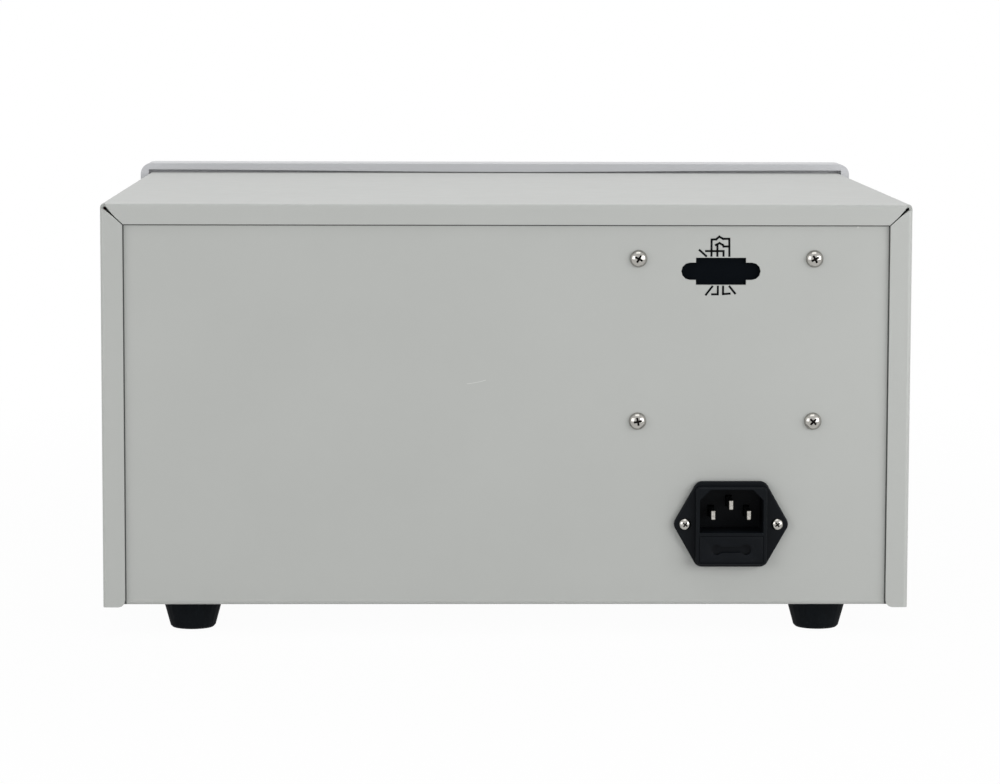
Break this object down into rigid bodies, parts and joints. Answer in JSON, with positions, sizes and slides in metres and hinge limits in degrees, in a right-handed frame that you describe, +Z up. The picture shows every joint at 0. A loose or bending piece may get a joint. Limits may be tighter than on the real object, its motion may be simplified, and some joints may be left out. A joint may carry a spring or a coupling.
{
  "type": "leakage current tester",
  "caption": "Bench leakage current tester in a folded steel case, with mains inlet and fuse drawer, display window, knobs, keys, test sockets and rubber feet.",
  "frame": {"origin": "on the surface that the feet stand on, under the middle of the whole instrument's box", "axes": "+Z up; the front panel faces -Y and the rear panel with the mains inlet faces +Y; +X is to the right seen from the front"},
  "size_m": [0.3242, 0.3048, 0.1735],
  "materials": {
    "case_paint": "fine satin powder coat",
    "bezel_plastic": "satin moulded",
    "panel_paint": "satin",
    "window": "tinted, polished",
    "foot_rubber": "matt",
    "black_plastic": "satin moulded",
    "nickel": "bright nickel plate",
    "circuit_board": "solder mask",
    "key_plastic": "satin moulded",
    "green_plastic": "gloss",
    "red_plastic": "gloss",
    "amber_lens": "gloss",
    "knob_plastic": "satin moulded",
    "bare_steel": "zinc plated",
    "copper_winding": "enamelled wire"
  },
  "bodies": {
    "case": {"cover": "case_paint", "chassis": "case_paint", "front_bezel": "bezel_plastic", "front_panel": "panel_paint", "display_window": "window", "foot_front_left": "foot_rubber", "foot_front_right": "foot_rubber", "foot_rear_left": "foot_rubber", "foot_rear_right": "foot_rubber", "inlet_housing": "black_plastic", "inlet_pin_live": "nickel", "inlet_pin_neutral": "nickel", "inlet_pin_earth": "nickel", "inlet_screw_left": "nickel", "inlet_screw_right": "nickel", "rear_screw_upper_left": "nickel", "rear_screw_upper_right": "nickel", "rear_screw_lower_left": "nickel", "rear_screw_lower_right": "nickel", "standoff_upper_left": "nickel", "standoff_upper_right": "nickel", "standoff_lower_left": "nickel", "standoff_lower_right": "nickel", "insulating_sheet": "black_plastic", "interface_board": "circuit_board", "control_board": "circuit_board", "voltage_display": "black_plastic", "current_display": "black_plastic", "timer_display": "black_plastic", "power_switch_housing": "black_plastic", "start_button_bezel": "nickel", "reset_button_bezel": "nickel", "limit_potentiometer": "bare_steel", "variac_core": "copper_winding", "variac_bracket": "bare_steel", "transformer_core": "bare_steel", "transformer_coil": "copper_winding", "transformer_strap": "bare_steel", "lamp_testing": "amber_lens", "lamp_pass": "green_plastic", "lamp_fail": "red_plastic", "test_socket_high": "red_plastic", "test_socket_low": "black_plastic", "side_screw_front_left": "nickel", "side_screw_front_right": "nickel", "side_screw_rear_left": "nickel", "side_screw_rear_right": "nickel"},
    "power_rocker": {"power_rocker": "black_plastic"},
    "start_button": {"start_button": "green_plastic"},
    "reset_button": {"reset_button": "red_plastic"},
    "range_key_low": {"range_key_low": "key_plastic"},
    "range_key_mid": {"range_key_mid": "key_plastic"},
    "range_key_high": {"range_key_high": "key_plastic"},
    "limit_control": {"limit_knob": "knob_plastic", "limit_shaft": "bare_steel"},
    "voltage_control": {"voltage_knob": "knob_plastic", "brush_shaft": "bare_steel"},
    "fuse_drawer": {"fuse_drawer": "black_plastic", "fuse": "nickel"}
  },
  "joints": [
    {"name": "power_rocker_tilt", "type": "hinge", "parent": "case", "child": "power_rocker", "pos_m": [-0.126, -0.1303, 0.0512], "axis": [-1, 0, 0], "range_deg": [0, 22]},
    {"name": "start_press", "type": "slide", "parent": "case", "child": "start_button", "axis": [0, 1, 0], "range_m": [0, 0.003], "stiffness_N_per_m": 400},
    {"name": "reset_press", "type": "slide", "parent": "case", "child": "reset_button", "axis": [0, 1, 0], "range_m": [0, 0.003], "stiffness_N_per_m": 400},
    {"name": "range_low_press", "type": "slide", "parent": "case", "child": "range_key_low", "axis": [0, 1, 0], "range_m": [0, 0.0025], "stiffness_N_per_m": 300},
    {"name": "range_mid_press", "type": "slide", "parent": "case", "child": "range_key_mid", "axis": [0, 1, 0], "range_m": [0, 0.0025], "stiffness_N_per_m": 300},
    {"name": "range_high_press", "type": "slide", "parent": "case", "child": "range_key_high", "axis": [0, 1, 0], "range_m": [0, 0.0025], "stiffness_N_per_m": 300},
    {"name": "limit_turn", "type": "hinge", "parent": "case", "child": "limit_control", "pos_m": [-0.0159, -0.1296, 0.0512], "axis": [0, 1, 0], "range_deg": [0, 300]},
    {"name": "voltage_turn", "type": "hinge", "parent": "case", "child": "voltage_control", "pos_m": [0.0881, -0.1296, 0.0722], "axis": [0, 1, 0], "range_deg": [0, 320]},
    {"name": "fuse_drawer_slide", "type": "slide", "parent": "case", "child": "fuse_drawer", "axis": [0, 1, 0], "range_m": [0, 0.015]}
  ]
}
